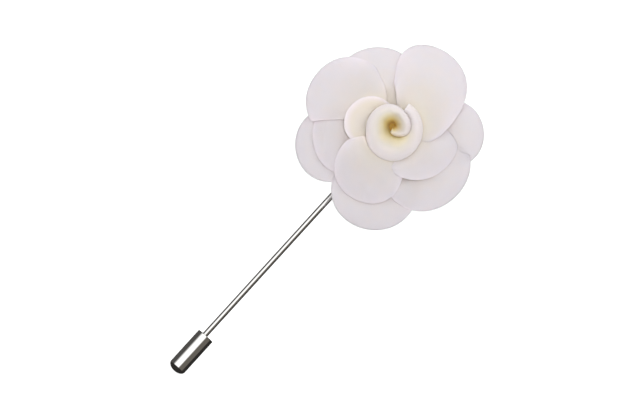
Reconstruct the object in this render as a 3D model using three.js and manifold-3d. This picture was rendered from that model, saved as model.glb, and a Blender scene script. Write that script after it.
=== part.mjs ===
// Fabric flower lapel pin: a white cloth camellia on a straight stick pin with a bullet end cap.
// Millimetres, +Z up. The pin lies on its back on the plane z = 0. The origin is the middle of
// the felt backing's flat face, the flower opens towards +Z and the needle runs along -Y.

import * as THREE from 'three';
import { mergeVertices } from 'three/addons/utils/BufferGeometryUtils.js';
import Module from 'manifold-3d';

const wasm = await Module();
wasm.setup();

// Driving dimensions
const FLOWER_REACH = 22.6;        // from the flower's axis to the tip of a usual outer petal
const CLOTH = 0.7;                // thickness of a petal
const GAP = 0.3;                  // clearance between neighbouring pieces
const NEEDLE_RADIUS = 0.7;
const CAP_RADIUS = 2.2;
const CAP_LENGTH = 11.2;
const CAP_END = -76.1;            // where the domed end of the cap lies on the Y axis
const CAP_DEPTH = 9.2;            // how deep the bore of the cap goes
const CAP_ASIDE = 0.3;            // the cap hangs this far to one side of the needle
const NEEDLE_IN_CAP = 8.2;        // how far the needle reaches into the cap
const POINT_LENGTH = 4.0;         // the ground point of the needle
const SHOULDERS = 0.3;            // how much a petal's outer corners are drawn in
const FLOWER_ASIDE = 1.4;         // the flower is glued a little to one side of the needle
const PETAL_START = 2.5;          // radius of a petal's root edge, sunk into the whorl's hub
const HUB_HEIGHT = 1.0;           // the disc of cloth and glue that holds a whorl's roots
const ROOT_HEIGHT = 0.5;          // how far a petal's root lies above the hub's underside
const HUB_SIDES = 24;
const ROUND_SIDES = 48;
const CAP_SIDES = 28;
const NEEDLE_SIDES = 20;
const FELT_RADIUS = 12.0;
const FELT_THICKNESS = 1.2;
const PAD_RADIUS = 5.0;
const PAD_THICKNESS = 0.8;

// Heights, stacked up from the lapel side
const NEEDLE_HEIGHT = CAP_RADIUS; // the cap and the felt then rest on one plane
const PAD_BOTTOM = NEEDLE_HEIGHT + NEEDLE_RADIUS + GAP;
const PAD_TOP = PAD_BOTTOM + PAD_THICKNESS;
const OUTER_BOTTOM = PAD_TOP + GAP;
const MIDDLE_BOTTOM = OUTER_BOTTOM + HUB_HEIGHT + GAP + 0.1;
const INNER_BOTTOM = MIDDLE_BOTTOM + HUB_HEIGHT + GAP + 0.2;

// The colours of the real materials
const petalWhite = new THREE.MeshStandardMaterial({ color: 0xe9e1e6, roughness: 0.85, metalness: 0 });
const innerWhite = new THREE.MeshStandardMaterial({ color: 0xece4da, roughness: 0.85, metalness: 0 });
const feltWhite = new THREE.MeshStandardMaterial({ color: 0xdedad2, roughness: 0.95, metalness: 0 });
const polished = new THREE.MeshStandardMaterial({ color: 0xc9cacb, roughness: 0.12, metalness: 1 });
const padMetal = new THREE.MeshStandardMaterial({ color: 0xb9babb, roughness: 0.35, metalness: 1 });
const linerPlastic = new THREE.MeshStandardMaterial({ color: 0xe4e4e0, roughness: 0.6, metalness: 0 });

// Joining closed meshes

function toSolid(geometry) {
  const bare = geometry.clone();
  bare.deleteAttribute('normal');
  bare.deleteAttribute('uv');
  const merged = mergeVertices(bare, 1e-4);
  const vertProperties = Float32Array.from(merged.attributes.position.array);
  const triVerts = Uint32Array.from(merged.index.array);
  return new wasm.Manifold(new wasm.Mesh({ numProp: 3, vertProperties, triVerts }));
}

function toGeometry(solid) {
  const mesh = solid.getMesh();
  const geometry = new THREE.BufferGeometry();
  geometry.setAttribute('position', new THREE.BufferAttribute(mesh.vertProperties, 3));
  geometry.setIndex(new THREE.BufferAttribute(mesh.triVerts, 1));
  geometry.computeVertexNormals();
  return geometry;
}

// Joins the pieces and keeps the one outer skin, so small hollows shut in between them are filled
function fuse(geometries) {
  let joined = toSolid(geometries[0]);
  for (const geometry of geometries.slice(1)) {
    joined = joined.add(toSolid(geometry));
  }
  const skins = joined.decompose().sort((a, b) => b.volume() - a.volume());
  return toGeometry(skins[0]);
}

// A sheet of cloth with two faces and a cut edge. surface(u, v) gives a point of its middle layer.
// Both faces come from one grid, so they are split into triangles alike.
function clothSheet(surface, columns, rows, thickness) {
  const grid = new THREE.PlaneGeometry(1, 1, columns, rows);
  const places = grid.attributes.position;
  for (let i = 0; i < places.count; i += 1) {
    const point = surface(places.getX(i) + 0.5, places.getY(i) + 0.5);
    places.setXYZ(i, point.x, point.y, point.z);
  }
  grid.computeVertexNormals();
  const normals = grid.attributes.normal;
  const count = places.count;
  const faces = new Float32Array(count * 6);
  for (let i = 0; i < count; i += 1) {
    const middle = new THREE.Vector3().fromBufferAttribute(places, i);
    const half = new THREE.Vector3().fromBufferAttribute(normals, i).multiplyScalar(thickness / 2);
    middle.clone().add(half).toArray(faces, i * 3);
    middle.clone().sub(half).toArray(faces, (count + i) * 3);
  }
  const index = [];
  const grid3 = Array.from(grid.index.array);
  for (let i = 0; i < grid3.length; i += 3) {
    const [a, b, c] = grid3.slice(i, i + 3);
    index.push(a, b, c, count + a, count + c, count + b);
  }
  const border = borderOf(columns, rows);
  border.forEach((here, i) => {
    const next = border[(i + 1) % border.length];
    index.push(here, next, count + here, next, count + next, count + here);
  });
  const sheet = new THREE.BufferGeometry();
  sheet.setAttribute('position', new THREE.BufferAttribute(faces, 3));
  sheet.setIndex(index);
  return sheet;
}

// The vertices round the edge of a PlaneGeometry grid, turning against its front faces
function borderOf(columns, rows) {
  const at = (column, row) => row * (columns + 1) + column;
  const border = [];
  for (let column = 0; column < columns; column += 1) border.push(at(column, 0));
  for (let row = 0; row < rows; row += 1) border.push(at(columns, row));
  for (let column = columns; column > 0; column -= 1) border.push(at(column, rows));
  for (let row = rows; row > 0; row -= 1) border.push(at(0, row));
  return border;
}

// A piece turned round the Y axis, from an outline of [radius, distance along +Y] corners
function turned(outline, sides) {
  return new THREE.LatheGeometry(outline.map(([r, y]) => new THREE.Vector2(r, y)), sides);
}

// A round disc lying level, between two heights
function disc(radius, bottom, top, sides) {
  const geometry = turned([[0, bottom], [radius, bottom], [radius, top], [0, top]], sides);
  return geometry.rotateX(Math.PI / 2);
}

// Petals

const radians = THREE.MathUtils.degToRad;
const smooth = (low, high, x) => THREE.MathUtils.smoothstep(x, low, high);

// How far a petal reaches at an angle from its middle line. Its free end is a round lobe, whose
// furthest point may lie to one side, and its two shoulders are drawn in.
function lobeReach(petal, side) {
  const turn = radians(side * petal.spread - petal.tipTurn);
  const centre = petal.reach - petal.lobe;
  const across = centre * Math.sin(turn);
  const lobe = centre * Math.cos(turn) + Math.sqrt(Math.max(petal.lobe ** 2 - across ** 2, 0));
  return lobe * (1 - SHOULDERS * side ** 4);
}

// A petal is a wedge of a bowl. The bowl's section runs from the root out to a usual tip.
// rise says how upright the petal stands, lift raises it over its neighbours, lean tips it to one
// side, cup raises both sides, curl turns the rim down and swirl turns the root against the rim.
function petalSurface(petal, whorl) {
  return (u, v) => {
    const side = 2 * u - 1;
    const share = v * lobeReach(petal, side) / petal.reach;
    const bowl = whorl.section.getPoint(share);
    const radius = bowl.x * petal.reach / whorl.reach;
    const free = smooth(0.1, 0.8, v);
    const curl = whorl.curl * smooth(0.8, 1, v);
    const tilt = petal.lift + petal.lean * side + whorl.cup * side ** 2;
    const root = whorl.bottom + ROOT_HEIGHT;
    const height = root + bowl.y * petal.rise + free * tilt - curl;
    const azimuth = radians(petal.azimuth + side * petal.spread - petal.swirl * (1 - share));
    return new THREE.Vector3(radius * Math.cos(azimuth), radius * Math.sin(azimuth), height);
  };
}

function whorlSolid(whorl) {
  const petals = whorl.petals.map(
    (petal) => clothSheet(petalSurface(petal, whorl), whorl.columns, whorl.rows, CLOTH));
  return fuse([disc(whorl.hub, whorl.bottom, whorl.bottom + HUB_HEIGHT, HUB_SIDES), ...petals]);
}

// The line from a whorl's root to a usual tip, by four handles of [radius, height above the root]
function section(...handles) {
  return new THREE.CubicBezierCurve(...handles.map(([r, z]) => new THREE.Vector2(r, z)));
}

// A petal whose middle line lies at an azimuth, from +X towards +Y, and what is special about it
function petalAt(azimuth, shape) {
  return { azimuth, tipTurn: 0, rise: 1, lift: 0, lean: 0, swirl: 0, ...shape };
}

// Five petals to a rosette, each placed where its neighbours leave room. Lengths are from the axis.
const outerWhorl = {
  bottom: OUTER_BOTTOM, hub: 4.2, columns: 10, rows: 7,
  reach: FLOWER_REACH, cup: 0.1, curl: 0.5,
  section: section([PETAL_START, 0], [9.5, -0.1], [16, 1.8], [FLOWER_REACH, 2.6]),
  petals: [
    petalAt(146, { tipTurn: -4, reach: 23.0, lobe: 11.0, spread: 43 }),
    petalAt(229, { reach: 23.2, lobe: 10.2, spread: 42 }),
    petalAt(295, { tipTurn: -2, reach: 23.3, lobe: 11.4, spread: 48, lift: 0.25 }),
    petalAt(359, { tipTurn: 2, reach: 21.8, lobe: 12.6, spread: 48, lift: 0.5 }),
    petalAt(45, { reach: 23.1, lobe: 9.3, spread: 42 }),
  ],
};

const middleWhorl = {
  bottom: MIDDLE_BOTTOM, hub: 4.0, columns: 11, rows: 8,
  reach: 18.0, cup: 0.3, curl: 0.5,
  section: section([PETAL_START, 0], [8.5, 0.4], [13.5, 4.4], [18.0, 6.4]),
  petals: [
    petalAt(95.5, { tipTurn: 4, reach: 24.9, lobe: 10.9, spread: 48, rise: 0.68, lift: 0.4, swirl: 14 }),
    petalAt(179, { tipTurn: 2, reach: 23.4, lobe: 12.4, spread: 48, rise: 0.66, lift: 0.4, swirl: 24 }),
    petalAt(227, { tipTurn: -8, reach: 18.7, lobe: 12.8, spread: 46, rise: 0.9, lean: 0.2, swirl: 8 }),
    petalAt(284, {
      tipTurn: -2, reach: 18.0, lobe: 9.6, spread: 48, rise: 0.95, lift: 0.2, lean: 0.2, swirl: 6,
    }),
    petalAt(12, { tipTurn: 30, reach: 16.8, lobe: 10.9, spread: 62, lift: 0.3, lean: -0.3, swirl: 8 }),
  ],
};

const innerWhorl = {
  bottom: INNER_BOTTOM, hub: 3.8, columns: 12, rows: 8,
  reach: 11.3, cup: 0, curl: 0.2,
  section: section([PETAL_START, 0], [10.2, 0.1], [8.8, 5.1], [11.3, 7.7]),
  petals: [
    petalAt(176, { reach: 11.3, lobe: 9.4, spread: 66 }),
  ],
};

// Bud: one strip of cloth rolled outwards from its inner end, with its top edge turned out

const BUD_CENTRE = new THREE.Vector3(1.1, 0.2, 0);
const BUD_BASE = INNER_BOTTOM + HUB_HEIGHT + GAP + 0.1;
const BUD_TOP = BUD_BASE + 7.4;
const BUD_INNER = 2.0;
const BUD_OUTER = 4.8;
const BUD_START = -18;            // azimuth of the strip's inner end
const BUD_TURN = 485;             // how far the strip winds, against the clock
const BUD_LIP = 1.6;              // how far the top edge turns out on the outer turn
const BUD_COLUMNS = 44;
const BUD_ROWS = 4;
const BUD_DIP = 0.8;              // how much lower the strip's inner end stands
const BUD_FOOT = 0.4;             // how far the strip's lower edge lies above the base's underside

function budSurface(u, v) {
  const wound = 1 - (1 - u) ** 3;
  const lip = BUD_LIP * (0.3 + 0.7 * wound) * smooth(0.3, 1, v);
  const radius = BUD_INNER + (BUD_OUTER - BUD_INNER) * wound + lip;
  const azimuth = radians(BUD_START + BUD_TURN * u);
  const bottom = BUD_BASE + BUD_FOOT;
  const height = bottom + (BUD_TOP - bottom - BUD_DIP * (1 - u)) * v;
  return new THREE.Vector3(radius * Math.cos(azimuth), radius * Math.sin(azimuth), height);
}

function budSolid() {
  const strip = clothSheet(budSurface, BUD_COLUMNS, BUD_ROWS, CLOTH);
  const base = disc(BUD_OUTER + 0.1, BUD_BASE, BUD_BASE + HUB_HEIGHT, HUB_SIDES);
  return fuse([base, strip]).translate(BUD_CENTRE.x, BUD_CENTRE.y, 0);
}

// Pin: pieces turned round the Y axis, which is the needle's line

const CAP_MOUTH = CAP_END + CAP_LENGTH;
const NEEDLE_TIP = CAP_MOUTH - NEEDLE_IN_CAP;
const NEEDLE_HEAD = 4.6;

function needleSolid() {
  return turned([
    [0, NEEDLE_TIP], [0.12, NEEDLE_TIP + 0.15], [NEEDLE_RADIUS, NEEDLE_TIP + POINT_LENGTH],
    [NEEDLE_RADIUS, NEEDLE_HEAD - 0.2], [NEEDLE_RADIUS - 0.2, NEEDLE_HEAD], [0, NEEDLE_HEAD],
  ], NEEDLE_SIDES);
}

// The cap's wall: a domed end, straight sides, a small rounded shoulder and a plain bore
const BORE_RADIUS = 1.75;
const SHOULDER = 0.45;
const DOME_HEIGHT = 1.4;

function capShellSolid() {
  const outline = [[0, CAP_END]];
  const domeSteps = 5;
  for (let step = 1; step <= domeSteps; step += 1) {
    const angle = (step / domeSteps) * Math.PI / 2;
    outline.push([CAP_RADIUS * Math.sin(angle), CAP_END + DOME_HEIGHT * (1 - Math.cos(angle))]);
  }
  outline.push(
    [CAP_RADIUS, CAP_MOUTH - SHOULDER], [CAP_RADIUS - 0.15, CAP_MOUTH - 0.13],
    [CAP_RADIUS - SHOULDER, CAP_MOUTH], [BORE_RADIUS, CAP_MOUTH],
    [BORE_RADIUS, CAP_MOUTH - CAP_DEPTH], [0, CAP_MOUTH - CAP_DEPTH]);
  return turned(outline, CAP_SIDES);
}

// The liner is a soft plug inside the mouth. Its hole is pierced a little off centre and clears
// the needle, so that the cap hangs to one side.
const LINER_HOLE = 0.95;
const LINER_RADIUS = 1.6;
const LINER_INSET = 0.4;
const LINER_LENGTH = 6.0;

function capLinerSolid() {
  const round = new THREE.Shape().absarc(0, 0, LINER_RADIUS, 0, 2 * Math.PI);
  round.holes.push(new THREE.Path().absarc(-CAP_ASIDE, 0, LINER_HOLE, 0, 2 * Math.PI, true));
  const sleeve = new THREE.ExtrudeGeometry(round, {
    depth: LINER_LENGTH, bevelEnabled: false, curveSegments: CAP_SIDES,
  });
  return sleeve.rotateX(Math.PI / 2).translate(0, CAP_MOUTH - LINER_INSET, 0);
}

// The scene graph

function piece(name, geometry, material, parent) {
  const mesh = new THREE.Mesh(geometry, material);
  mesh.name = name;
  parent.add(mesh);
  return mesh;
}

const group = new THREE.Group();
const flower = new THREE.Group();
const pin = new THREE.Group();
const cap = new THREE.Group();
flower.position.x = FLOWER_ASIDE;
pin.position.z = NEEDLE_HEIGHT;
cap.position.x = CAP_ASIDE;
group.add(flower, pin);
pin.add(cap);

piece('felt_backing', disc(FELT_RADIUS, 0, FELT_THICKNESS, ROUND_SIDES), feltWhite, group);
piece('pin_pad', disc(PAD_RADIUS, PAD_BOTTOM, PAD_TOP, ROUND_SIDES), padMetal, group);
piece('petals_outer', whorlSolid(outerWhorl), petalWhite, flower);
piece('petals_middle', whorlSolid(middleWhorl), petalWhite, flower);
piece('petal_inner', whorlSolid(innerWhorl), innerWhite, flower);
piece('bud', budSolid(), innerWhite, flower);

piece('needle', needleSolid(), polished, pin);
piece('cap_shell', capShellSolid(), polished, cap);
piece('cap_liner', capLinerSolid(), linerPlastic, cap);

export default group;
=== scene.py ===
# %% [markdown]
# # A cloth camellia on a lapel pin
# The imported model gives every piece its place. This lesson dresses it: thin petals cut from cloth,
# a rolled bud, a felt back, and a bright pin with its pull-off cap. The model is loaded first.

# %% Load the frame
import math

import bmesh
import bpy
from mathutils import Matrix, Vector


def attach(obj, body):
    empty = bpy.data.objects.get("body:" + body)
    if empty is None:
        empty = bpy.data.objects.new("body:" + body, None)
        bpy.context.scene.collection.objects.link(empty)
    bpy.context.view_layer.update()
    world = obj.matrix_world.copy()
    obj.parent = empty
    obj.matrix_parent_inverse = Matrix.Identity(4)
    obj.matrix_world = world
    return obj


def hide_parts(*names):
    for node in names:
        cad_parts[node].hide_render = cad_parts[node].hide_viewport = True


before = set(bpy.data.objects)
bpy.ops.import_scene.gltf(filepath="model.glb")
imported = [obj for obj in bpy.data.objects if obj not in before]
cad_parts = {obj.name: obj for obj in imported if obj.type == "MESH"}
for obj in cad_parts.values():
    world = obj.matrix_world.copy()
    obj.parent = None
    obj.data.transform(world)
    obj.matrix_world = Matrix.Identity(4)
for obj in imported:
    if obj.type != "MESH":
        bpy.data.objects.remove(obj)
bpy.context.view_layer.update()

MM = 0.001
scene = bpy.context.scene
print("nodes:", sorted(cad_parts))

# %% [markdown]
# ## The camera
# The photograph looks almost straight down on the flower, from the side of the cap, so that the
# needle runs to the lower left. A long lens keeps the round petals round. The camera is placed by
# two angles and a distance from the point it looks at, which is easier to adjust than a location.

# %% Camera
CAMERA_AIM = Vector((-0.76, -22.75, 7.7)) * MM
CAMERA_AZIMUTH = math.radians(41.9)
CAMERA_ELEVATION = math.radians(79.5)
CAMERA_DISTANCE = 384 * MM
CAMERA_LENS = 90

camera = bpy.data.objects.new("camera", bpy.data.cameras.new("camera"))
scene.collection.objects.link(camera)
back = Vector((
    math.sin(CAMERA_AZIMUTH) * math.cos(CAMERA_ELEVATION),
    -math.cos(CAMERA_AZIMUTH) * math.cos(CAMERA_ELEVATION),
    math.sin(CAMERA_ELEVATION),
))
camera.location = CAMERA_AIM + back * CAMERA_DISTANCE
camera.rotation_euler = back.to_track_quat("Z", "Y").to_euler()
camera.data.lens = CAMERA_LENS
camera.data.clip_start = 10 * MM
scene.camera = camera
print("camera at", [round(value, 3) for value in camera.location])

# %% [markdown]
# ## Small helpers for materials
# Every finish below is a short chain of nodes that ends in a Principled shader. One helper adds a
# node and fills or links its inputs, so that each material reads as a list of what it is made of.
# Clicking the nodes together in the editor would give the same result, but nobody could read it.

# %% Node helpers
def add_node(tree, kind, inputs=(), **settings):
    made = tree.nodes.new(kind)
    for name, value in settings.items():
        setattr(made, name, value)
    for name, value in dict(inputs).items():
        if isinstance(value, bpy.types.NodeSocket):
            tree.links.new(value, made.inputs[name])
        else:
            made.inputs[name].default_value = value
    return made


def new_material(name, **sockets):
    material = bpy.data.materials.new(name)
    material.use_nodes = True
    shader = material.node_tree.nodes["Principled BSDF"]
    for socket, value in sockets.items():
        shader.inputs[socket.replace("_", " ")].default_value = value
    return material, material.node_tree, shader


def blend_colours(tree, share, first, second, blend_type="MIX"):
    mixed = add_node(tree, "ShaderNodeMix", data_type="RGBA", blend_type=blend_type, clamp_factor=True)
    for index, value in ((0, share), (6, first), (7, second)):
        if isinstance(value, bpy.types.NodeSocket):
            tree.links.new(value, mixed.inputs[index])
        else:
            mixed.inputs[index].default_value = value
    return mixed.outputs[2]


def calculate(tree, operation, *values):
    step = add_node(tree, "ShaderNodeMath", enumerate(values), operation=operation)
    return step.outputs[0]


def colour_steps(tree, share, steps):
    ramp = add_node(tree, "ShaderNodeValToRGB", {"Fac": share})
    stops = ramp.color_ramp.elements
    while len(stops) < len(steps):
        stops.new(1.0)
    for stop, (place, colour) in zip(stops, steps):
        stop.position = place
        stop.color = colour
    return ramp.outputs["Color"]


print("helpers for nodes, colours and ramps are ready")

# %% [markdown]
# ## Noise and relief
# No cloth, felt or metal is even, and three helpers cover most of that: where a point is on its
# object, a cloud of noise of a stated size there, and a bump that bends the light. Pictures of real
# surfaces would do too, but noise has no seams, and its size is known in millimetres.

# %% Noise helpers
def place_on_object(tree):
    return add_node(tree, "ShaderNodeTexCoord").outputs["Object"]


def cloud(tree, place, size, detail, distortion=0.0):
    noise = add_node(tree, "ShaderNodeTexNoise", {
        "Vector": place, "Scale": 1 / size, "Detail": detail, "Distortion": distortion})
    return noise.outputs["Fac"]


def add_bump(tree, shader, height, strength, relief):
    bump = add_node(tree, "ShaderNodeBump", {"Height": height, "Strength": strength, "Distance": relief})
    tree.links.new(bump.outputs["Normal"], shader.inputs["Normal"])


print("helpers for clouds and bumps are ready")

# %% [markdown]
# ## Threads and the back of the cloth
# Up close the petals show a plain weave, one thread over and one under. A picture of cloth would
# blur and repeat, so two sine waves at right angles make the threads. They run on the cloth map,
# which holds each point's place on the flat cloth in metres, so that they keep their true size and
# run straight through the cut. The second helper tells which part of a piece faces down, because the
# bud's golden painted shade is on the cloth's upper side alone.

# %% Weave and underside
THREAD = 0.32 * MM
FACING_UP = 0.02
FACING_DOWN = -0.08


def weave_height(tree, thread):
    cloth_map = add_node(tree, "ShaderNodeUVMap", uv_map="cloth")
    axes = add_node(tree, "ShaderNodeSeparateXYZ", {"Vector": cloth_map.outputs["UV"]})
    turns = 2 * math.pi / thread
    across = calculate(tree, "SINE", calculate(tree, "MULTIPLY", axes.outputs["X"], turns))
    along = calculate(tree, "SINE", calculate(tree, "MULTIPLY", axes.outputs["Y"], turns))
    return calculate(tree, "MULTIPLY", across, along)


def underside(tree):
    facing = add_node(tree, "ShaderNodeTexCoord").outputs["Normal"]
    upward = add_node(tree, "ShaderNodeSeparateXYZ", {"Vector": facing}).outputs["Z"]
    share = add_node(tree, "ShaderNodeMapRange", {
        "Value": upward, "From Min": FACING_UP, "From Max": FACING_DOWN})
    return share.outputs["Result"]


print("petal threads:", round(THREAD / MM, 2), "mm")

# %% [markdown]
# ## Petal cloth
# The petals are a fine matt cloth, dyed almost white and pressed into shape with heat. From a step
# away it is a pinkish, lavender white at the rims that turns creamy towards the roots, in soft uneven
# patches. The tints are partly painted light and shade: the darker cream at the roots also stands in
# for the shade in the recesses round the bud, and the rim is painted a little lighter for the light
# that shines through it. One flat white would look like plastic. So the petals carry a value named
# depth, 0 at the root and 1 at the rim, which places the tints, and three sizes of noise make patches,
# drifts between warm and cool, and flecks. A little light passes into the cloth, and a short fuzz lies on
# it.

# %% Petal cloth
THREAD_RELIEF = 0.03 * MM
THREAD_STRENGTH = 0.5
FUZZ_IN_THREADS = 0.4
FUZZ_SHARE = 0.8
PATCH_SIZE = 5 * MM
PATCH_REACH = 0.16
PATCH_SHARE = 0.9
PATCH_LIMIT = 0.6
PATCH_EASE = 0.1
PATCH_TINT = (0.985, 0.965, 0.985, 1)
DRIFT_SIZE = 3.5 * MM
WARM_DRIFT = (1.0, 0.985, 0.975, 1)
COOL_DRIFT = (0.98, 0.985, 1.0, 1)
DRIFT_STEPS = ((0.38, WARM_DRIFT), (0.62, COOL_DRIFT))
FLECK_SIZE = 1.1 * MM
FLECK_SHARE = 0.05
FLECK_GREY = (0.72, 0.68, 0.7, 1)


def cloth_material(name, tints, thread, back_tint=None):
    material, tree, shader = new_material(
        name, Roughness=0.9, Specular_IOR_Level=0.15, Sheen_Weight=0.15, Sheen_Roughness=0.45,
        Subsurface_Weight=0.8, Subsurface_Radius=(1.0, 1.0, 1.0), Subsurface_Scale=1.0 * MM)
    place = place_on_object(tree)
    depth = add_node(tree, "ShaderNodeAttribute", attribute_name="depth").outputs["Fac"]
    patches = cloud(tree, place, PATCH_SIZE, detail=2.5)
    lowered = calculate(tree, "SUBTRACT", depth, PATCH_REACH / 2)
    uneven = calculate(tree, "MULTIPLY_ADD", patches, PATCH_REACH, lowered)
    tint = colour_steps(tree, uneven, tints)
    if back_tint:
        tint = blend_colours(tree, underside(tree), tint, back_tint)
    patch_share = calculate(tree, "MULTIPLY", patches, PATCH_SHARE)
    patchy = calculate(tree, "SMOOTH_MIN", patch_share, PATCH_LIMIT, PATCH_EASE)
    coloured = blend_colours(tree, patchy, tint, PATCH_TINT, "MULTIPLY")
    drift_tint = colour_steps(tree, cloud(tree, place, DRIFT_SIZE, detail=2.0), DRIFT_STEPS)
    drifting = blend_colours(tree, 1.0, coloured, drift_tint, "MULTIPLY")
    fleck_share = calculate(tree, "MULTIPLY", cloud(tree, place, FLECK_SIZE, detail=4.0), FLECK_SHARE)
    flecked = blend_colours(tree, fleck_share, drifting, FLECK_GREY)
    tree.links.new(flecked, shader.inputs["Base Color"])
    fuzz = cloud(tree, place, FUZZ_IN_THREADS * thread, detail=3.0)
    rough = calculate(tree, "MULTIPLY_ADD", fuzz, FUZZ_SHARE, weave_height(tree, thread))
    add_bump(tree, shader, rough, THREAD_STRENGTH, THREAD_RELIEF)
    return material


# The darker cream towards the root is partly the cloth's own cream and partly painted shade for the
# recesses round the bud. The lightest tint at the rim is partly painted light for the thin rim.
ROOT_SHADE_CREAM = (0.87, 0.775, 0.59, 1)
CREAM = (0.905, 0.79, 0.72, 1)
PINK_WHITE = (0.965, 0.845, 0.865, 1)
RIM_LIT_WHITE = (0.99, 0.86, 0.94, 1)
PETAL_TINTS_AND_SHADE = ((0.15, ROOT_SHADE_CREAM), (0.45, CREAM), (0.75, PINK_WHITE), (1.0, RIM_LIT_WHITE))
petal_cloth = cloth_material("petal_cloth", PETAL_TINTS_AND_SHADE, THREAD)
print("petal cloth:", len(PETAL_TINTS_AND_SHADE), "tints from root to rim")

# %% [markdown]
# ## From a shape to an object
# A shape made with bmesh is only a list of points and faces. To be seen it has to become a mesh, the
# mesh an object, and the object part of the scene. Every piece takes this last step in the same way,
# with smooth shading and one material, so a helper does it.

# %% Object helper
def make_object(name, shape, material):
    for face in shape.faces:
        face.smooth = True
    mesh = bpy.data.meshes.new(name)
    shape.to_mesh(mesh)
    shape.free()
    made = bpy.data.objects.new(name, mesh)
    scene.collection.objects.link(made)
    made.data.materials.append(material)
    print(f"{name}: {len(mesh.polygons)} faces")
    return made


print("the object helper is ready")

# %% [markdown]
# ## Turning a formula into a sheet of cloth
# A sheet is a grid whose points are moved onto a curved surface. The surface is a function of two
# numbers, u across the cloth and v along it, both from 0 to 1. A Solidify modifier gives the sheet
# its thickness, and one level of subdivision rounds its cut edge. A second function says where each
# point lay on the flat cloth. Its numbers go into the cloth map, and their spread is the size that
# the piece was cut to. Cloth simulation could find such shapes too, but these petals were pressed in
# a mould, and a formula puts each rim exactly where the real one lies.

# %% Sheet helper
def smooth(low, high, value):
    share = min(max((value - low) / (high - low), 0.0), 1.0)
    return share * share * (3 - 2 * share)


def cloth_sheet(name, surface, flat_place, columns, rows, thickness, material, depth_at):
    shape = bmesh.new()
    cloth_map = shape.loops.layers.uv.new("cloth")
    depth = shape.verts.layers.float.new("depth")
    bmesh.ops.create_grid(shape, x_segments=columns, y_segments=rows, size=0.5)
    places = {vertex: (vertex.co.x + 0.5, vertex.co.y + 0.5) for vertex in shape.verts}
    flat = {vertex: flat_place(u, v) for vertex, (u, v) in places.items()}
    for face in shape.faces:
        for corner in face.loops:
            corner[cloth_map].uv = flat[corner.vert]
    for vertex, (u, v) in places.items():
        vertex.co = surface(u, v)
        vertex[depth] = depth_at(u, v)
    bmesh.ops.reverse_faces(shape, faces=shape.faces)
    area = sum(face.calc_area() for face in shape.faces)
    across, along = zip(*flat.values())
    cut = (max(across) - min(across), max(along) - min(along))
    piece = make_object(name, shape, material)
    wall = piece.modifiers.new("thickness", "SOLIDIFY")
    wall.thickness = thickness
    wall.offset = 0
    wall.use_even_offset = True
    rounding = piece.modifiers.new("rounding", "SUBSURF")
    rounding.levels = 1
    rounding.render_levels = 1
    print(f"{name}: cut {cut[0] / MM:.1f} x {cut[1] / MM:.1f} mm, {area / MM ** 2:.0f} mm2 of cloth")
    return piece, cut, area


print("a quarter of the way up a soft step:", smooth(0, 1, 0.25))

# %% [markdown]
# ## Curves through a few points
# A petal's section and the bud's spiral are drawn as a few points, and the cloth follows a
# smooth curve through them. A Blender curve object would do, but a function of one number can be
# asked for a height at any place while the grid is being moved.

# %% Curve helper
def curve_through(points, place):
    index = max(i for i, point in enumerate(points[:-1]) if place >= point[0] or i == 0)
    before = points[max(index - 1, 0)]
    start, end = points[index], points[index + 1]
    after = points[min(index + 2, len(points) - 1)]
    reach = end[0] - start[0]
    share = (place - start[0]) / reach
    slope_in = (end[1] - before[1]) / (end[0] - before[0]) * reach
    slope_out = (after[1] - start[1]) / (after[0] - start[0]) * reach
    ease = share * share * (3 - 2 * share)
    between = start[1] * (1 - ease) + end[1] * ease
    return between + slope_in * share * (1 - share) ** 2 - slope_out * share ** 2 * (1 - share)


print("halfway from 1 to 3 on a straight line:", curve_through(((0, 0), (1, 1), (3, 3), (4, 4)), 2))

# %% [markdown]
# ## The numbers of a petal
# Each petal is a wedge of a shallow bowl, the form that a hot mould gives to cut cloth, with a round
# end and drawn-in shoulders. It could be sculpted, but numbers are easier to fit to a photograph.
# Lengths are in millimetres and angles in degrees. The right side is the one of lower azimuth.
#
# - azimuth is where the petal points, reach how far it goes, lobe the radius of its round end, and
#   tip_turn how far that end is turned aside.
# - spread is half the width, and shoulder how much the corners are drawn in, right and left.
# - lift raises the petal, and right and left raise one side, which settles which petal lies on top.
#   All of it grows from the root and is full at the share of the length that is named free.
# - swirl winds the root round the flower. Where there is a twist, the right side follows that.
# - roll bends the tip down from roll_from on, and edge_roll the sides.
# - wave is the height of a slow wave along the rim and waves how quickly it repeats. Its phase is the
#   bare number of the azimuth, so that no two petals wave alike.

# %% Petal numbers
SHOULDERS = (0.3, 0.3)


def petal_at(azimuth, **shape):
    plain = {
        "tip_turn": 0, "lift": 0, "left": 0, "right": 0, "free": 0.8, "swirl": 0, "twist": 0,
        "roll": 0.25, "roll_from": 0.8, "edge_roll": 0.15, "wave": 0.15, "waves": 4.0,
        "phase": azimuth, "shoulder": SHOULDERS,
    }
    return {"azimuth": azimuth, **plain, **shape}


def on_side(pair, side):
    right, left = pair
    return left if side > 0 else right


print("a plain petal:", petal_at(0))

# %% [markdown]
# ## The surface of a petal
# For each point of the grid the surface asks how far out the rim lies on that side, how high the
# cloth is, how far the root is wound, and how wide the petal is there. One long formula could answer
# all of it, but with a small function for each the petals can be fitted one trait at a time.

# %% Petal surface
FLOWER_CENTRE = Vector((1.4, 0, 0)) * MM
PETAL_START = 2.5
ROOT_WAIST = 0.3
WAIST_END = 0.55
FREE_FROM = 0.1
ROLL_END = 1.05
EDGE_ROLL_FROM = 0.7
WAVE_FROM = 0.4


def lobe_reach(petal, side):
    turn = math.radians(side * on_side(petal["spread"], side) - petal["tip_turn"])
    centre = petal["reach"] - petal["lobe"]
    across = centre * math.sin(turn)
    lobe = centre * math.cos(turn) + math.sqrt(max(petal["lobe"] ** 2 - across ** 2, 0))
    return lobe * (1 - on_side(petal["shoulder"], side) * side ** 4)


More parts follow.
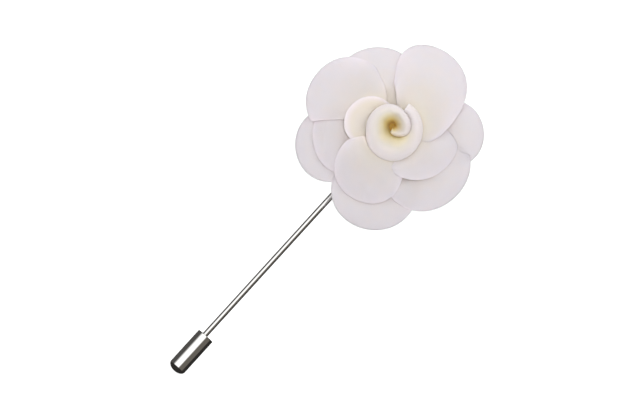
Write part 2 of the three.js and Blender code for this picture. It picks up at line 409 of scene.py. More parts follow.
def petal_height(petal, side, v):
    free = smooth(FREE_FROM, petal["free"], v)
    tilt = petal["lift"] + on_side((petal["right"], petal["left"]), side) * side ** 2
    roll = petal["roll"] * smooth(petal["roll_from"], ROLL_END, v)
    edge = petal["edge_roll"] * smooth(EDGE_ROLL_FROM, 1.0, abs(side)) * free
    wave = petal["wave"] * math.sin(petal["waves"] * side + petal["phase"]) * smooth(WAVE_FROM, 1, v)
    return free * tilt + wave - roll - edge


def petal_wind(petal, side, share):
    slow_wind = petal["swirl"] * (1 - share)
    if not petal["twist"]:
        return slow_wind
    fast_wind = petal["twist"] * (1 - share) ** 3
    return slow_wind + (fast_wind - slow_wind) * (1 - side) / 2


def petal_surface(petal, whorl):
    section = petal.get("section", whorl["section"])

    def surface(u, v):
        side = 2 * u - 1
        share = v * lobe_reach(petal, side) / petal["reach"]
        radius = PETAL_START + (petal["reach"] - PETAL_START) * share
        height = whorl["root"] + curve_through(section, radius) + petal_height(petal, side, v)
        waist = 1 - ROOT_WAIST * (1 - smooth(0, WAIST_END, v))
        fan = side * on_side(petal["spread"], side) * waist - petal_wind(petal, side, share)
        azimuth = math.radians(petal["azimuth"] + fan)
        return FLOWER_CENTRE + Vector((radius * math.cos(azimuth), radius * math.sin(azimuth), height)) * MM
    return surface


round_petal = petal_at(0, reach=20, lobe=10, spread=(40, 40))
print("a petal of 20 mm reaches", round(lobe_reach(round_petal, 0.5), 1), "mm halfway to its side")

# %% [markdown]
# ## A whorl of petals
# A whorl is a ring of petals glued at one height. To find where a point lay on the flat cloth, the
# helper walks from the root to it along the surface, and opens the wedge out flat by that length.
# Unwrapping the mesh would do this too, but not in true millimetres along the threads.

# %% Whorl helper
CLOTH_THICKNESS = 0.22 * MM
PATH_STEPS = 8


def line_length(path, steps):
    points = [path(step / steps) for step in range(steps + 1)]
    return sum((after - before).length for before, after in zip(points, points[1:]))


def petal_flat(petal, surface):
    def flat_place(u, v):
        side = 2 * u - 1
        path = line_length(lambda share: surface(u, v * share), PATH_STEPS)
        start = (surface(u, 0) - FLOWER_CENTRE).xy.length
        around = (surface(u, v) - FLOWER_CENTRE).xy.length / (start + path)
        fan = math.radians(side * on_side(petal["spread"], side)) * around
        return (start + path) * math.sin(fan), (start + path) * math.cos(fan)
    return flat_place


def make_whorl(name, whorl, node, material, depth_at=lambda u, v: v):
    for number, petal in enumerate(whorl["petals"], start=1):
        surface = petal_surface(petal, whorl)
        piece, cut, area = cloth_sheet(
            f"{name}_{number}", surface, petal_flat(petal, surface), whorl["columns"], whorl["rows"],
            CLOTH_THICKNESS, material, depth_at)
        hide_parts(node)
        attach(piece, "flower_pin")


print("the cloth of the petals is", round(CLOTH_THICKNESS / MM, 2), "mm thick")

# %% [markdown]
# ## Outer petals
# Five round petals make the flower's outline. They are glued to the pad of the pin, belly up and come
# down to their rims, and only their outer halves show, because the middle petals cover the rest. One
# petal could be copied five times, but real ones were fitted by hand, so each has its own numbers.
# Two have higher bellies, so that no dark gap is left under the petals that lie on them.

# %% Outer petals
OUTER_ROOT = 4.8
OUTER_SECTION = ((PETAL_START, 0), (6, 1.6), (10, 5.0), (12, 5.4), (16, 5.0), (20, 4.5), (23.3, 3.5))
HIGH_INSIDE = ((PETAL_START, 0), (6, 4.2), (8, 5.7), (10, 6.2), (14, 6.0), (18, 5.1), (23.3, 3.5))
RAISED_INSIDE = (
    (PETAL_START, 0), (6, 3.4), (8, 5.2), (10, 5.9), (12, 5.9), (14, 5.4), (16, 4.9), (20, 4.5),
    (23.3, 3.5))
outer_whorl = {
    "root": OUTER_ROOT, "section": OUTER_SECTION, "columns": 30, "rows": 24,
    "petals": [
        petal_at(145, reach=22.7, lobe=11.0, spread=(42, 43), shoulder=(0.2, 0.3), section=HIGH_INSIDE),
        petal_at(231, reach=23.0, lobe=10.2, spread=(42, 43)),
        petal_at(295, reach=23.5, lobe=11.4, spread=(44, 49), shoulder=(0.26, 0.25),
                 lift=0.3, left=0.3),
        petal_at(359, tip_turn=2, reach=21.75, lobe=13.1, spread=(48, 48), shoulder=(0.16, 0.3),
                 lift=0.6, right=0.9, section=RAISED_INSIDE),
        petal_at(45, tip_turn=-1, reach=22.8, lobe=9.1, spread=(41, 35.5), lift=0.5),
    ],
}
make_whorl("petal_outer", outer_whorl, "petals_outer", petal_cloth)

# %% [markdown]
# ## Middle petals
# The second ring rises steeply beside the bud and then arches over to its rims. Two broad petals reach
# out over the upper side of the flower, and the first of them winds round the bud on one side. Three
# shorter ones close the lower side. Each lies over its neighbour as on the real flower, and one shared
# section would let them cut through each other. So there is one for the petal over all the others,
# one that leans out, one that is tucked in, and a domed one for the rest.

# %% Middle petals
MIDDLE_ROOT = 6.2
OVER_ALL = (
    (PETAL_START, 0), (4.6, 0.9), (5.8, 6.0), (7.3, 7.3), (9.5, 7.7), (12, 7.1), (15, 6.2), (20, 4.9),
    (25.2, 3.6))
LEANING_OUT = (
    (PETAL_START, 0), (4.6, 0.9), (6, 3.7), (8, 5.8), (10.5, 6.3), (15, 5.4), (20, 4.6), (25.2, 3.8))
TUCKED = ((PETAL_START, 0), (4.6, 0.5), (7, 3.6), (10, 5.3), (15, 5.0), (18.7, 4.0))
DOMED = ((PETAL_START, 0), (4.6, 0.9), (5.9, 6.9), (7.4, 8.0), (10, 7.9), (14, 6.3), (18, 4.4))
middle_whorl = {
    "root": MIDDLE_ROOT, "section": DOMED, "columns": 32, "rows": 28,
    "petals": [
        petal_at(101.5, tip_turn=-4, reach=24.9, lobe=11.7, spread=(49, 42.5), shoulder=(0.4, 0.3),
                 lift=0.1, right=-0.5, left=-1.3, free=0.5, swirl=30, twist=81, section=OVER_ALL),
        petal_at(179, reach=23.3, lobe=12.2, spread=(31, 37), shoulder=(0.2, 0.02),
                 lift=0.3, right=-0.9, left=-0.6, swirl=18, section=LEANING_OUT),
        petal_at(227, tip_turn=-8, reach=18.7, lobe=12.8, spread=(30, 46),
                 right=-0.3, left=-0.4, swirl=8, section=TUCKED),
        petal_at(284, tip_turn=-2, reach=18.0, lobe=9.6, spread=(48, 48),
                 lift=-0.2, right=0.3, left=-0.6, swirl=6),
        petal_at(12, tip_turn=30, reach=16.8, lobe=10.9, spread=(70, 48),
                 lift=-0.5, right=0.3, left=-3.1, free=0.4, swirl=8),
    ],
}
make_whorl("petal_middle", middle_whorl, "petals_middle", petal_cloth)

# %% [markdown]
# ## Inner petal
# One small cupped petal holds the bud on its upper left. Its wall rises steeply and its rim turns
# outwards, so that it reads as a bright crescent beside the bud. The same petal recipe makes it. Its
# tints are kept creamy and darker almost to the rim, as painted shade for the inside of the cup beside
# the bud. A function of its own places the tints, which is less work than a second material.

# %% Inner petal
INNER_ROOT = 7.7
INNER_SECTION = ((PETAL_START, 0), (4.6, 1.2), (5.6, 4.3), (6.7, 5.0), (9.1, 6.2), (11.6, 6.4))
# INNER_SHADE_CREAM keeps the inside of the cup creamy and darker, as painted shade beside the bud.
INNER_SHADE_CREAM = 0.3
INNER_SHADE_CREAM_AT = 0.5
INNER_RIM = 0.45
INNER_RIM_FROM = 0.75


def inner_shaded_depth(u, v):
    return INNER_SHADE_CREAM * smooth(0, INNER_SHADE_CREAM_AT, v) + INNER_RIM * smooth(INNER_RIM_FROM, 1, v)


inner_whorl = {
    "root": INNER_ROOT, "section": INNER_SECTION, "columns": 40, "rows": 30,
    "petals": [
        petal_at(190, tip_turn=10, reach=11.5, lobe=6.3, spread=(68, 47), shoulder=(0.1, 0.1),
                 roll=0, wave=0.1),
    ],
}
make_whorl("petal_inner", inner_whorl, "petal_inner", petal_cloth,
           depth_at=inner_shaded_depth)

# %% [markdown]
# ## Bud cloth
# The heart of the flower is rolled from the same kind of cloth, with finer threads. Its tints are
# creamier and darker than the petals', partly as painted shade that evens out the stronger light on
# the bud, which stands nearest the lamps. Deep in its hole the cloth is painted golden, from honey
# down to a brownish gold, as painted shade for the hole. That painted shade is on the cloth's upper
# side, and the back stays plain cream. A second recipe could be written for it, but the petals' own
# recipe with other tints keeps the two cloths alike.

# %% Bud cloth
BUD_THREAD = 0.28 * MM
# DEEP_GOLD_SHADE, GOLD and HONEY_SHADE are painted shade for the deep hole of the bud.
DEEP_GOLD_SHADE = (0.7, 0.46, 0.09, 1)
GOLD = (0.94, 0.74, 0.28, 1)
HONEY_SHADE = (0.9, 0.79, 0.53, 1)
# BUD_CREAM_SHADED and BUD_WHITE_SHADED are painted darker than the petals' tints, as painted shade that
# evens out the stronger light on the bud, which stands nearest the lamps.
BUD_CREAM_SHADED = (0.77, 0.715, 0.63, 1)
BUD_WHITE_SHADED = (0.8, 0.735, 0.725, 1)
BUD_TINTS_AND_SHADE = ((0.1, DEEP_GOLD_SHADE), (0.25, GOLD), (0.42, HONEY_SHADE), (0.62, BUD_CREAM_SHADED), (0.88, BUD_WHITE_SHADED))
bud_cloth = cloth_material("bud_cloth", BUD_TINTS_AND_SHADE, BUD_THREAD, back_tint=BUD_CREAM_SHADED)
print("bud cloth:", len(BUD_TINTS_AND_SHADE), "tints from the hole to the lip")

# %% [markdown]
# ## The spiral of the bud
# One strip of cloth is rolled up for one and a half turns, from its inner end outwards. Spinning a
# section would close it to a ring. So u runs along the strip, and three curves over u through a few
# given points say how far out its rim and its core lie and how far its lip drops. That gives
# the uneven spiral of a strip that was rolled by hand.

# %% Bud spiral
BUD_CENTRE = Vector((1.4, 1.1, 0)) * MM
BUD_START = -79
BUD_TURN = 538
BUD_RIM = (
    (0, 0.7), (0.11, 2.0), (0.18, 3.5), (0.3, 3.5), (0.41, 4.6), (0.58, 6.0), (0.65, 7.5), (0.73, 7.9),
    (0.87, 6.3), (1.0, 5.75))
BUD_CORE = ((0, 0.2), (0.15, 0.45), (0.3, 0.7), (0.5, 0.9), (0.75, 1.5), (1.0, 2.6))
BUD_DROP = (
    (0, 0), (0.35, 0), (0.43, 1.2), (0.62, 1.25), (0.66, 0.8), (0.71, 0.5), (0.8, 0.25), (0.84, 0.5),
    (0.88, 0.9), (1, 0.9))
print("bud:", round(BUD_TURN / 360, 2), "turns, outer end at", (BUD_START + BUD_TURN) % 360, "degrees")

# %% [markdown]
# ## The wall and the lip of the bud
# Across the strip, v runs from the glued foot up a narrow funnel, and over a lip that turns out and
# down like the lip of a bowl, until it rests on the petals. A circular arc would do for the lip, but
# one Bezier curve gives the funnel and the lip together without a kink. The hole leans to one side,
# and the inner turns stand a little higher at the foot and lower at the top, as on the real flower.

# %% Bud surface
BUD_BOTTOM = 8.6
BUD_TOP = 16.35
BUD_DIP = 2.6
BUD_DIP_END = 0.3
BUD_RAMP = 0.7
HOLE_SHIFT = Vector((-1.0, 1.3, 0))
FOOT_SHARE = 0.2
FOOT_WIDTH = 0.92
WALL_LEAN = 0.25
WALL_RISE = 0.5
LIP_BACK = 0.3
LIP_RISE = 1.2
LIP_OUT = 0.6
LIP_SPREAD = 0.15
LIP_DOWN = 1.9


def bezier_point(handles, share):
    rest = 1 - share
    weights = (rest ** 3, 3 * rest ** 2 * share, 3 * rest * share ** 2, share ** 3)
    return [sum(weight * handle[axis] for weight, handle in zip(weights, handles)) for axis in (0, 1)]


def wall_point(u, share, tall):
    rim = curve_through(BUD_RIM, u)
    core = curve_through(BUD_CORE, u)
    drop = curve_through(BUD_DROP, u)
    flare = rim - core
    return bezier_point((
        (core, 0),
        (core + WALL_LEAN * flare, WALL_RISE * tall),
        (rim - LIP_BACK * flare, LIP_RISE * tall + drop),
        (rim + LIP_OUT + LIP_SPREAD * drop, tall - LIP_DOWN - drop),
    ), share)


def bud_surface(u, v):
    tall = BUD_TOP - BUD_BOTTOM - BUD_DIP * (1 - smooth(0, BUD_DIP_END, u))
    if v < FOOT_SHARE:
        radius = curve_through(BUD_CORE, u) * (1 - FOOT_WIDTH * (1 - v / FOOT_SHARE))
        height = 0
    else:
        radius, height = wall_point(u, (v - FOOT_SHARE) / (1 - FOOT_SHARE), tall)
    azimuth = math.radians(BUD_START + BUD_TURN * u)
    lowness = 1 - height / tall
    up = BUD_BOTTOM + BUD_RAMP * (1 - u) * lowness + height
    place = Vector((radius * math.cos(azimuth), radius * math.sin(azimuth), up))
    return BUD_CENTRE + (place + HOLE_SHIFT * lowness) * MM


print("bud: the outer lip ends", round(bud_surface(1, 1).z / MM, 1), "mm above the lapel")

# %% [markdown]
# ## The painted shade in the bud
# The tints follow the cloth from its foot to its lip, but not by that alone. The heart at the strip's
# inner end is golden up to its edge, and the hollow of the outer turn has a honey shade whose strength
# changes along the strip. Both are painted shade for the deep hole. The outer lip is paler. A painted
# picture could hold this, but three soft ramps over the strip are enough, and they stay smooth at any
# distance.

# %% Bud shade
FOOT_DEPTH = 0.12
# HEART_GOLD_SHADE paints the strip's inner end golden, as painted shade deep in the hole.
HEART_GOLD_SHADE = 0.28
HEART_FROM = 0.03
HEART_TO = 0.17
LIP_PALE = 0.18
LIP_PALE_FROM = 0.5
# HOLLOW_SHADE paints a honey shade in the hollow of the outer turn, as painted shade.
HOLLOW_SHADE = (
    (0, 0), (0.2, 0), (0.3, 0), (0.45, 0.14), (0.6, 0.06), (0.7, 0.09), (0.79, 0.22), (0.9, 0.02), (1, 0))


def bud_depth(u, v):
    if v < FOOT_SHARE:
        return FOOT_DEPTH * v / FOOT_SHARE
    heart = HEART_GOLD_SHADE * (1 - smooth(HEART_FROM, HEART_TO, u))
    hollow = 4 * v * (1 - v) * curve_through(HOLLOW_SHADE, u)
    tint_shift = LIP_PALE * smooth(LIP_PALE_FROM, 1, u) - heart - hollow
    return FOOT_DEPTH + (v - FOOT_SHARE) / (1 - FOOT_SHARE) * (1 - FOOT_DEPTH) + tint_shift


print("depth along the lip:", [round(bud_depth(u, 1), 2) for u in (0, 0.5, 1)])

# %% [markdown]
# ## The strip of the bud
# The sheet helper makes the strip as it made the petals. It gets many more columns than rows, because
# the cloth bends most along its length. A rolled strip is a plain rectangle when it is opened, so its
# length and width are measured on the roll, along one line each.

# %% Bud strip
BUD_THICKNESS = 0.4 * MM
BUD_COLUMNS = 150
BUD_ROWS = 26
MEASURED_AT = 0.8
STRIP_LENGTH = line_length(lambda u: bud_surface(u, MEASURED_AT), steps=100)
STRIP_WIDTH = line_length(lambda v: bud_surface(MEASURED_AT, v), steps=40)


def bud_flat(u, v):
    return u * STRIP_LENGTH, v * STRIP_WIDTH


bud, bud_cut, bud_area = cloth_sheet(
    "bud_strip", bud_surface, bud_flat, BUD_COLUMNS, BUD_ROWS, BUD_THICKNESS, bud_cloth, bud_depth)
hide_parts("bud")
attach(bud, "flower_pin")

# %% [markdown]
# ## Metal
# The pin and its cap are polished and plated, so what they show is the studio: a white panel as a
# bright band, and the dim room as darker ones. Wipe marks are too fine to see one by one and only make
# the gloss a little uneven. The pad under the flower is plainer, brushed steel. Both could be one
# even grey with no marks, but then they would look moulded. One recipe serves for both, a noise that
# is stretched along the grain.

# %% Metal materials
POLISHED_COLOUR = (0.86, 0.85, 0.83, 1)
WIPE_GRAIN = (2500, 400, 2500)
PAD_COLOUR = (0.62, 0.61, 0.59, 1)
BRUSH_GRAIN = (400, 9000, 400)
MARK_STRENGTH = 0.1
MARK_RELIEF = 0.002 * MM


def metal_material(name, colour, grain, roughness, unevenness):
    material, tree, shader = new_material(name, Base_Color=colour, Metallic=1.0)
    stretched = add_node(tree, "ShaderNodeMapping", {"Vector": place_on_object(tree), "Scale": grain})
    marks = cloud(tree, stretched.outputs["Vector"], size=1.0, detail=4.0)
    gloss = calculate(tree, "MULTIPLY_ADD", marks, unevenness, roughness - unevenness / 2)
    tree.links.new(gloss, shader.inputs["Roughness"])
    add_bump(tree, shader, marks, MARK_STRENGTH, MARK_RELIEF)
    return material


polished = metal_material("polished_steel", POLISHED_COLOUR, WIPE_GRAIN, roughness=0.1, unevenness=0.05)
pad_metal = metal_material("pad_metal", PAD_COLOUR, BRUSH_GRAIN, roughness=0.35, unevenness=0.12)
print("metals:", polished.name, "and", pad_metal.name)

# %% [markdown]
# ## Turned pieces
# Needle and cap are round about the needle's line and the felt disc about its own, so each is an
# outline spun once round an axis. The outline is a list of corners, each a distance from the axis and
# a place along it. A Bevel modifier could soften the corners, but an arc in the outline says exactly
# how round each one is.

# %% Turning helper
NEEDLE_HEIGHT = 2.2
WELD = 0.0005


def arc(centre_radius, centre_place, size, start, end, steps):
    points = []
    for step in range(steps + 1):
        angle = math.radians(start + (end - start) * step / steps)
        points.append((centre_radius + size * math.cos(angle), centre_place + size * math.sin(angle)))
    return points


def spun(corners, axis, sides):
    shape = bmesh.new()
    vertices = [shape.verts.new(corner * MM) for corner in corners]
    edges = [shape.edges.new(pair) for pair in zip(vertices, vertices[1:])]
    bmesh.ops.spin(shape, geom=vertices + edges, cent=(0, 0, 0), axis=axis, angle=2 * math.pi,
                   steps=sides, use_merge=True)
    bmesh.ops.remove_doubles(shape, verts=shape.verts, dist=WELD * MM)
    bmesh.ops.recalc_face_normals(shape, faces=shape.faces)
    return shape


def turned_piece(name, outline, material, body, sides, aside=0.0):
    shape = spun([Vector((radius, place, 0)) for radius, place in outline], (0, 1, 0), sides)
    bmesh.ops.translate(shape, verts=shape.verts, vec=Vector((aside, 0, NEEDLE_HEIGHT)) * MM)
    piece = make_object(name, shape, material)
    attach(piece, body)
    return piece


print("the needle's axis is", NEEDLE_HEIGHT, "mm above the lapel")

# %% [markdown]
# ## The needle
# A straight steel wire with a ground point. The point swells quickly at first and then more slowly,
# as a grinding wheel leaves it, and the head is cut off square with a small rounded edge. A plain
# cylinder and cone would be quicker, but the joint between them would show as a bright ring.

# %% Needle
NEEDLE_RADIUS = 0.7
NEEDLE_HEAD = 4.6
NEEDLE_IN_CAP = 8.2
NEEDLE_RINGS = 7
NEEDLE_RING_STEP = 10
CAP_MOUTH = -64.9
NEEDLE_TIP = CAP_MOUTH - NEEDLE_IN_CAP
POINT_LENGTH = 4.0
HEAD_ROUND = 0.2
needle_outline = [
    (0, NEEDLE_TIP), (0.05, NEEDLE_TIP + 0.04), (0.12, NEEDLE_TIP + 0.2),
    (0.42, NEEDLE_TIP + 2.0), (0.64, NEEDLE_TIP + 3.5), (NEEDLE_RADIUS, NEEDLE_TIP + POINT_LENGTH),
    *[(NEEDLE_RADIUS, NEEDLE_TIP + POINT_LENGTH + ring * NEEDLE_RING_STEP)
      for ring in range(1, NEEDLE_RINGS + 1)],
    *arc(NEEDLE_RADIUS - HEAD_ROUND, NEEDLE_HEAD - HEAD_ROUND, HEAD_ROUND, 0, 90, 5),
    (0, NEEDLE_HEAD),
]
needle = turned_piece("needle_wire", needle_outline, polished, "flower_pin", sides=48)
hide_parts("needle")

# %% [markdown]
# ## The cap
# A drawn metal sleeve with a domed end, slipped over the needle's point. Its mouth is rounded over.
# A solid bullet would look the same in the photograph, but not when it is pulled off. So the outline
# runs up the outside, over the lip and down the bore, and the wall shows its real thickness. The cap
# hangs a little to one side of the needle.

# %% Cap
CAP_RADIUS = 2.2
CAP_END = -76.1
CAP_DEPTH = 9.2
CAP_ASIDE = 0.3
CAP_LIP = 0.22
CAP_RINGS = 6
CAP_RING_STEP = 1.5
BORE_RADIUS = 1.75
BORE_LIP = 0.1
DOME_HEIGHT = 1.4
DOME_STEPS = 14
dome = []
for step in range(DOME_STEPS + 1):
    angle = math.pi / 2 * step / DOME_STEPS
    dome.append((CAP_RADIUS * math.sin(angle), CAP_END + DOME_HEIGHT * (1 - math.cos(angle))))
cap_outline = [
    *dome,
    *[(CAP_RADIUS, CAP_END + DOME_HEIGHT + ring * CAP_RING_STEP) for ring in range(1, CAP_RINGS + 1)],
    *arc(CAP_RADIUS - CAP_LIP, CAP_MOUTH - CAP_LIP, CAP_LIP, 0, 90, 6),
    *arc(BORE_RADIUS + BORE_LIP, CAP_MOUTH - BORE_LIP, BORE_LIP, 90, 180, 4),
    (BORE_RADIUS, CAP_MOUTH - CAP_DEPTH), (0, CAP_MOUTH - CAP_DEPTH),
]
cap = turned_piece("cap_sleeve", cap_outline, polished, "end_cap", sides=96,
                   aside=CAP_ASIDE)
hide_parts("cap_shell")

# %% [markdown]
# ## The liner in the cap
# A soft plastic sleeve just inside the mouth grips the needle. It could be turned like the cap, but
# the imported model's shape is right, so its mesh stays, and only its finish is new: a slightly cloudy
# off-white plastic.

# %% Liner
LINER_WHITE = (0.78, 0.77, 0.73, 1)
LINER_GREY = (0.7, 0.69, 0.64, 1)
LINER_CLOUD = MM / 0.9
liner_plastic, liner_tree, liner_shader = new_material(
    "liner_plastic", Roughness=0.55, Specular_IOR_Level=0.4)
liner_cloud = cloud(liner_tree, place_on_object(liner_tree), LINER_CLOUD, detail=3.0)
liner_tint = blend_colours(liner_tree, liner_cloud, LINER_WHITE, LINER_GREY)
liner_tree.links.new(liner_tint, liner_shader.inputs["Base Color"])
liner_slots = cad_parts["cap_liner"].data.materials
liner_slots.clear()
liner_slots.append(liner_plastic)
print("the liner's finish:", [material.name for material in liner_slots])

# %% [markdown]
# ## Felt
# A disc of felt is glued over the pin's head, so that nothing sharp touches the lapel. Felt is pressed
# fibre with no threads. Real hairs would be too heavy for a piece that hardly shows, so its look is a
# fine noise bent on itself, with larger, darker clumps and a deep bump.

# %% Felt material
FIBRE = 0.25 * MM
FIBRE_STRENGTH = 0.7
FIBRE_RELIEF = 0.08 * MM
CLUMP_SIZE = 3 * MM
CLUMP_SHARE = 0.25
FELT_DARK = (0.66, 0.63, 0.57, 1)
FELT_LIGHT = (0.84, 0.82, 0.78, 1)
FELT_CLUMP = (0.7, 0.68, 0.64, 1)
felt, felt_tree, felt_shader = new_material(
    "felt", Roughness=1.0, Specular_IOR_Level=0.1, Sheen_Weight=0.4, Sheen_Roughness=0.5)
felt_place = place_on_object(felt_tree)
fibres = cloud(felt_tree, felt_place, FIBRE, detail=5.0, distortion=1.5)
clumps = cloud(felt_tree, felt_place, CLUMP_SIZE, detail=2.0)
clump_share = calculate(felt_tree, "MULTIPLY", clumps, CLUMP_SHARE)
fibre_tint = blend_colours(felt_tree, fibres, FELT_DARK, FELT_LIGHT)
felt_tint = blend_colours(felt_tree, clump_share, fibre_tint, FELT_CLUMP)
felt_tree.links.new(felt_tint, felt_shader.inputs["Base Color"])
add_bump(felt_tree, felt_shader, fibres, FIBRE_STRENGTH, FIBRE_RELIEF)
print("felt: fibres of", round(FIBRE / MM, 2), "mm")

# %% [markdown]
# ## The felt disc
# The disc is spun like the metal pieces, because a grid would leave corners on its rim. Scissors
# leave the edge of felt a little ragged, so three sine waves with unlike counts pull it in and out by
# a tenth or two of a millimetre.

# %% Felt disc
FELT_RADIUS = 12.0
FELT_THICKNESS = 1.2
FELT_SIDES = 180
FELT_ROUND = 0.3
FELT_RINGS = (4, 8)
FELT_FLAT = 11.5
RAGGED_FROM = 0.9
RAGGED_IN = 0.12
RAGGED_WAVES = ((0.06, 41, 0), (0.05, 67, 1.3), (0.05, 23, 0))
felt_outline = [
    (0, 0), *[(radius, 0) for radius in FELT_RINGS], (FELT_FLAT, 0),
    *arc(FELT_RADIUS - FELT_ROUND, FELT_ROUND, FELT_ROUND, -60, 0, 3),
    *arc(FELT_RADIUS - FELT_ROUND, FELT_THICKNESS - FELT_ROUND, FELT_ROUND, 0, 90, 4),
    *[(radius, FELT_THICKNESS) for radius in reversed(FELT_RINGS)], (0, FELT_THICKNESS),
]
felt_shape = spun([Vector((radius, 0, height)) for radius, height in felt_outline], (0, 0, 1), FELT_SIDES)
for vertex in felt_shape.verts:
    azimuth = math.atan2(vertex.co.y, vertex.co.x)
    ragged = sum(size * math.sin(count * azimuth + start) for size, count, start in RAGGED_WAVES)
    share = smooth(RAGGED_FROM * FELT_RADIUS * MM, FELT_RADIUS * MM, vertex.co.xy.length)
    vertex.co.xy *= 1 + (ragged - RAGGED_IN) / FELT_RADIUS * share
felt_disc = make_object("felt_disc", felt_shape, felt)
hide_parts("felt_backing")
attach(felt_disc, "flower_pin")

# %% [markdown]
# ## The pad
# The needle's head is soldered to a small steel pad, and the flower is glued onto that. It is a plain
# disc that hardly shows, so turning it again would gain nothing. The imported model's mesh stays and
# gets the brushed steel.

# %% Pad
pad_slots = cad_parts["pin_pad"].data.materials
pad_slots.clear()
pad_slots.append(pad_metal)
print("the pad's finish:", [material.name for material in pad_slots])

# %% [markdown]
# ## The floor
# The photograph has a clean white ground without a shadow. A curved backdrop isn't needed, because
# the camera looks down, so the floor is a large pale plane. It glows a little, so that no shadow
# darkens it, and it is hidden from reflections and from bounced light, which would otherwise light
# the petals from below.

# %% Floor
FLOOR_REACH = 3.0
FLOOR_DROP = 0.05 * MM
FLOOR_GREY = (0.6, 0.6, 0.6, 1)
FLOOR_GLOW = 0.9
floor_paint = new_material(
    "floor_paint", Base_Color=FLOOR_GREY, Roughness=1.0, Specular_IOR_Level=0.0,
    Emission_Color=(1, 1, 1, 1), Emission_Strength=FLOOR_GLOW)[0]
floor_shape = bmesh.new()
bmesh.ops.create_grid(floor_shape, x_segments=1, y_segments=1, size=FLOOR_REACH)
bmesh.ops.translate(floor_shape, verts=floor_shape.verts, vec=(0, 0, -FLOOR_DROP))
floor = make_object("floor", floor_shape, floor_paint)
floor.visible_glossy = False
floor.visible_diffuse = False

# %% [markdown]
# ## The room that the metal mirrors
# Metal shows what is round it: here a white panel above the pin, a dim brown wall on one side, a
# darker one on the other, and darkness below and beyond the cap. Real panels would do, but each would
# also light the petals, so the room is painted into the world. Its bands lie round the needle's line
# and are placed by the turn about the Y axis.

# %% Mirrored room
FLOOR_LINE = (-92, -84)
PANEL_FROM = -23
PANEL_TO = 50
PANEL_END = (-0.4, -0.28)
SOFT_EDGE = 0.014
SOFTER_EDGE = 0.035
PANEL_LIGHT = (1.3, 1.3, 1.3, 1)
ROOM_BROWN = (0.145, 0.132, 0.115, 1)
ROOM_DARK = (0.085, 0.082, 0.078, 1)
BELOW_DARK = (0.028, 0.026, 0.024, 1)


def turn_share(degrees):
    return degrees / 360 + 0.5


world = bpy.data.worlds.new("studio")
scene.world = world
world.use_nodes = True
tree = world.node_tree
direction = add_node(tree, "ShaderNodeTexCoord").outputs["Generated"]
axes = add_node(tree, "ShaderNodeSeparateXYZ", {"Vector": direction})
left = calculate(tree, "MULTIPLY", axes.outputs["X"], -1.0)
about_needle = calculate(tree, "ARCTAN2", left, axes.outputs["Z"])
turn = calculate(tree, "MULTIPLY_ADD", about_needle, 1 / (2 * math.pi), 0.5)
bands = colour_steps(tree, turn, (
    (turn_share(FLOOR_LINE[0]), BELOW_DARK), (turn_share(FLOOR_LINE[1]), ROOM_BROWN),
    (turn_share(PANEL_FROM) - SOFT_EDGE, ROOM_BROWN), (turn_share(PANEL_FROM) + SOFT_EDGE, PANEL_LIGHT),
    (turn_share(PANEL_TO) - SOFTER_EDGE, PANEL_LIGHT), (turn_share(PANEL_TO) + SOFTER_EDGE, ROOM_DARK),
))
panel_end = add_node(tree, "ShaderNodeMapRange", {
    "Value": axes.outputs["Y"], "From Min": PANEL_END[0], "From Max": PANEL_END[1]})
mirrored = blend_colours(tree, panel_end.outputs["Result"], BELOW_DARK, bands)
print("the white panel lies from", PANEL_FROM, "to", PANEL_TO, "degrees about the needle")

# %% [markdown]
# ## The soft fill for the cloth
# For cloth the same world is a soft fill. One even white would flatten the folds, and light from
# above alone would leave steep cloth dark. So it is strongest all round at the flower's own level and
# weak from above and below. A mirror's ray sees the room, every other ray the fill, and the camera
# plain white.

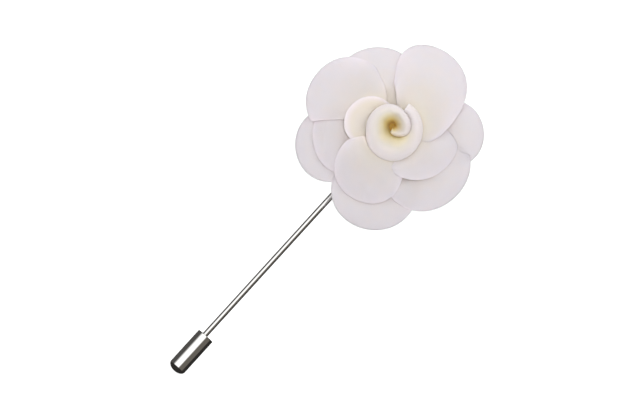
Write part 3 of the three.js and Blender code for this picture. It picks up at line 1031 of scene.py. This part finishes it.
# %% Soft fill
FILL_HIGH = (0.3, 0.3, 0.3, 1)
FILL_LEVEL = (1.4, 1.4, 1.4, 1)
FILL_BELOW = (0.12, 0.12, 0.12, 1)
FILL_STEPS = ((0.36, FILL_BELOW), (0.42, FILL_LEVEL), (0.58, FILL_LEVEL), (0.7, FILL_HIGH))
GROUND_WHITE = (1, 1, 1, 1)
height_share = calculate(tree, "MULTIPLY_ADD", axes.outputs["Z"], 0.5, 0.5)
fill = colour_steps(tree, height_share, FILL_STEPS)
rays = add_node(tree, "ShaderNodeLightPath")
lit = blend_colours(tree, rays.outputs["Is Glossy Ray"], fill, mirrored)
seen = blend_colours(tree, rays.outputs["Is Camera Ray"], lit, GROUND_WHITE)
tree.links.new(seen, tree.nodes["Background"].inputs["Color"])
print("the world has", len(tree.nodes), "nodes")

# %% [markdown]
# ## Two lamps
# A small lamp close to the camera's line gives the petals their modelling, with short, faint shadows
# under the rims. A weaker, wider one stands near the flower towards the top of the picture, and
# brightens the sides that face it. One lamp alone leaves those sides too grey, and a sun would give
# hard shadows. Neither is mirrored in the metal, where the panel does that work.

# %% Lamps
PICTURE_UP = Vector((-math.sin(CAMERA_AZIMUTH), math.cos(CAMERA_AZIMUTH), 0))
PICTURE_RIGHT = Vector((math.cos(CAMERA_AZIMUTH), math.sin(CAMERA_AZIMUTH), 0))


def soft_lamp(name, power, size, distance, elevation, aside):
    angle = math.radians(elevation)
    towards = PICTURE_UP * math.cos(angle) + PICTURE_RIGHT * aside + Vector((0, 0, math.sin(angle)))
    lamp = bpy.data.objects.new(name, bpy.data.lights.new(name, "AREA"))
    lamp.data.shape = "DISK"
    lamp.data.size = size
    lamp.data.energy = power
    lamp.location = FLOWER_CENTRE + towards * distance
    lamp.rotation_euler = towards.to_track_quat("Z", "Y").to_euler()
    lamp.visible_glossy = False
    lamp.visible_camera = False
    scene.collection.objects.link(lamp)
    print(f"{name}: {power} W at {distance} m")


soft_lamp("front_light", power=0.222, size=0.06, distance=0.24, elevation=100, aside=0)
soft_lamp("top_light", power=0.026, size=0.12, distance=0.075, elevation=65, aside=0.08)

# %% [markdown]
# ## View settings
# Blender's usual view transform, AgX, compresses bright colours and would turn the white ground and
# petals grey. Standard shows them as they are lit, which suits a product picture on white.

# %% View settings
scene.view_settings.view_transform = "Standard"
scene.view_settings.look = "None"
print("view transform:", scene.view_settings.view_transform)
